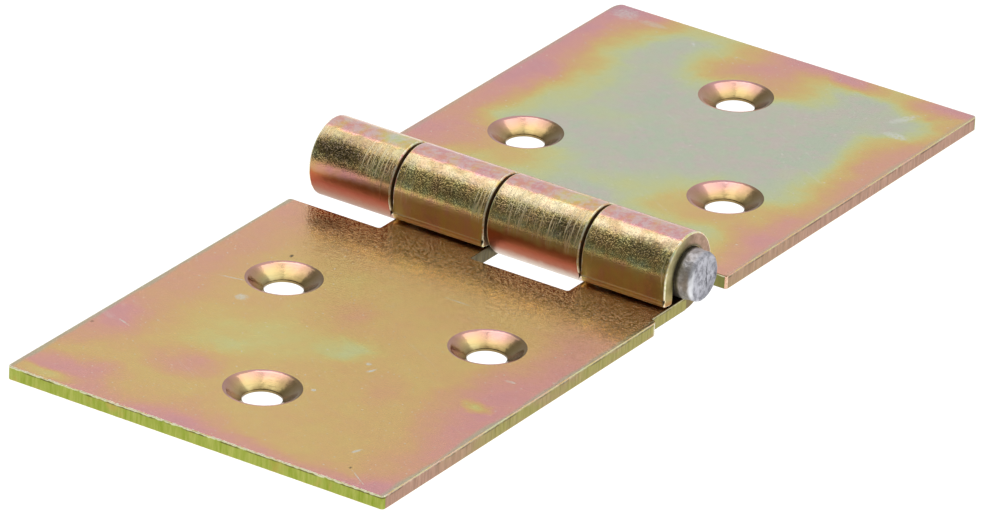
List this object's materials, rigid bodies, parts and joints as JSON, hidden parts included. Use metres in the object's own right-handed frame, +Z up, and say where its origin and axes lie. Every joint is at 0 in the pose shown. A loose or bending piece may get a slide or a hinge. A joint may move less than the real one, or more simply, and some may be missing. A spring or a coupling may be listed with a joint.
{
  "type": "back flap hinge",
  "caption": "Back flap hinge: flat rectangular steel leaves with rolled knuckles on a plain pin and countersunk screw holes, for table flaps, lids and hatches.",
  "frame": {"origin": "on the plane of both undersides, below the pin axis, at the middle of the leaf width", "axes": "+X along the pin towards its overhanging end, +Y towards the rear leaf, +Z up out of the screw face"},
  "size_m": [0.0621, 0.147, 0.0114],
  "materials": {
    "leaf_plating": "yellow passivated zinc plating with pink, green and gold interference tints, satin",
    "pin_steel": "plain grey zinc plating, rough cut ends"
  },
  "bodies": {
    "front_leaf_and_pin": {"front_leaf": "leaf_plating", "hinge_pin": "pin_steel"},
    "rear_leaf": {"rear_leaf": "leaf_plating"}
  },
  "joints": [
    {"name": "leaf_swing", "type": "hinge", "parent": "front_leaf_and_pin", "child": "rear_leaf", "pos_m": [0, 0, 0.00568], "axis": [1, 0, 0], "range_deg": [-110, 180]}
  ]
}
